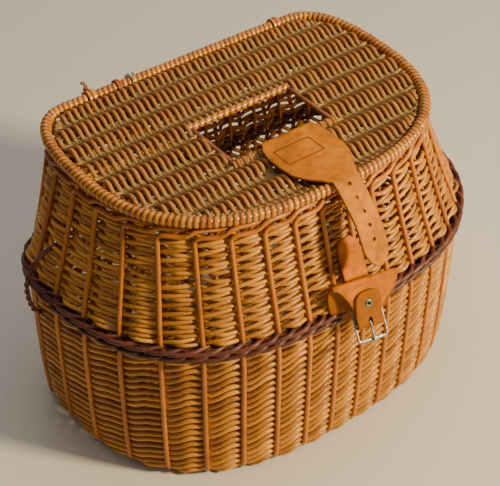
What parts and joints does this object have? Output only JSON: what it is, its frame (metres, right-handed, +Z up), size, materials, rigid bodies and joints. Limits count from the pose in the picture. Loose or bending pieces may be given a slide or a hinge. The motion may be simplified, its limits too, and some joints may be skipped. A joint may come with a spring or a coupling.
{
  "type": "fishing creel",
  "caption": "Woven willow creel: pot-bellied D-shaped basket with a hinged lid, a framed hole to drop fish in, a leather lid strap, a buckle flap and end loops for a harness",
  "frame": {"origin": "on the ground under the middle of the basket's width, where the base rests; Y = 0 is a little behind the middle of its depth", "axes": "+X to the right along the long side as seen from the front, -Y to the front where the buckle is, +Z up"},
  "size_m": [0.4321, 0.2965, 0.2704],
  "materials": {
    "buff_willow": "satin, split and whole willow rods",
    "weathered_willow": "satin, slightly weathered",
    "golden_cane": "glossy wound cane",
    "dark_willow": "satin, bark left on",
    "grain_leather": "smooth grain side, worn",
    "flesh_leather": "rough flesh side",
    "dull_steel": "dull, slightly tarnished"
  },
  "bodies": {
    "basket": {"base": "buff_willow", "wall_lower": "buff_willow", "wall_upper": "buff_willow", "stakes": "buff_willow", "border_rod": "buff_willow", "band_rod_1": "dark_willow", "band_rod_2": "dark_willow", "band_rod_3": "dark_willow", "harness_loop_left": "dark_willow", "harness_loop_right": "dark_willow", "hinge_loop_left": "golden_cane", "hinge_loop_right": "golden_cane", "hinge_thong": "grain_leather", "hinge_wire": "dull_steel", "anchor_strap": "grain_leather", "buckle_tab": "grain_leather"},
    "lid": {"hole_front_rod": "weathered_willow", "hole_post_left": "dark_willow", "hole_post_right": "dark_willow", "hole_rear_rod": "golden_cane", "lid_rim": "golden_cane", "lid_stick_01": "weathered_willow", "lid_stick_02": "weathered_willow", "lid_stick_03": "weathered_willow", "lid_stick_04": "weathered_willow", "lid_stick_06_left": "weathered_willow", "lid_stick_06_right": "weathered_willow", "lid_stick_07_left": "weathered_willow", "lid_stick_07_right": "weathered_willow", "lid_stick_08_left": "weathered_willow", "lid_stick_08_right": "weathered_willow", "lid_stick_09_left": "weathered_willow", "lid_stick_09_right": "weathered_willow", "lid_stick_11": "weathered_willow", "lid_stick_12": "weathered_willow", "lid_stick_13": "weathered_willow", "lid_stick_14": "weathered_willow", "lid_stick_15": "weathered_willow", "lid_stick_16": "weathered_willow", "lid_weave": "weathered_willow", "strap_plate": "grain_leather"},
    "strap_tongue": {"strap_tongue": "grain_leather"},
    "buckle_flap": {"buckle_flap": "flesh_leather", "buckle_rivet": "dull_steel"},
    "buckle_frame": {"buckle_frame": "dull_steel"},
    "buckle_prong": {"buckle_prong": "dull_steel"}
  },
  "joints": [
    {"name": "lid_hinge", "type": "hinge", "parent": "basket", "child": "lid", "pos_m": [0, 0.104, 0.262], "axis": [-1, 0, 0], "range_deg": [0, 110]},
    {"name": "strap_bend", "type": "hinge", "parent": "lid", "child": "strap_tongue", "pos_m": [0.004, -0.119, 0.2692], "axis": [-1, 0, 0], "range_deg": [-10, 135]},
    {"name": "flap_bend", "type": "hinge", "parent": "basket", "child": "buckle_flap", "pos_m": [-0.00355, -0.15922, 0.19246], "axis": [-0.9781, 0.2079, 0], "range_deg": [0, 90]},
    {"name": "frame_swing", "type": "hinge", "parent": "buckle_flap", "child": "buckle_frame", "pos_m": [-0.00601, -0.1708, 0.15574], "axis": [-0.9781, 0.2079, 0], "range_deg": [-1, 4]},
    {"name": "prong_swing", "type": "hinge", "parent": "buckle_frame", "child": "buckle_prong", "pos_m": [-0.00601, -0.1708, 0.15574], "axis": [-0.9781, 0.2079, 0], "range_deg": [0, 105]}
  ]
}
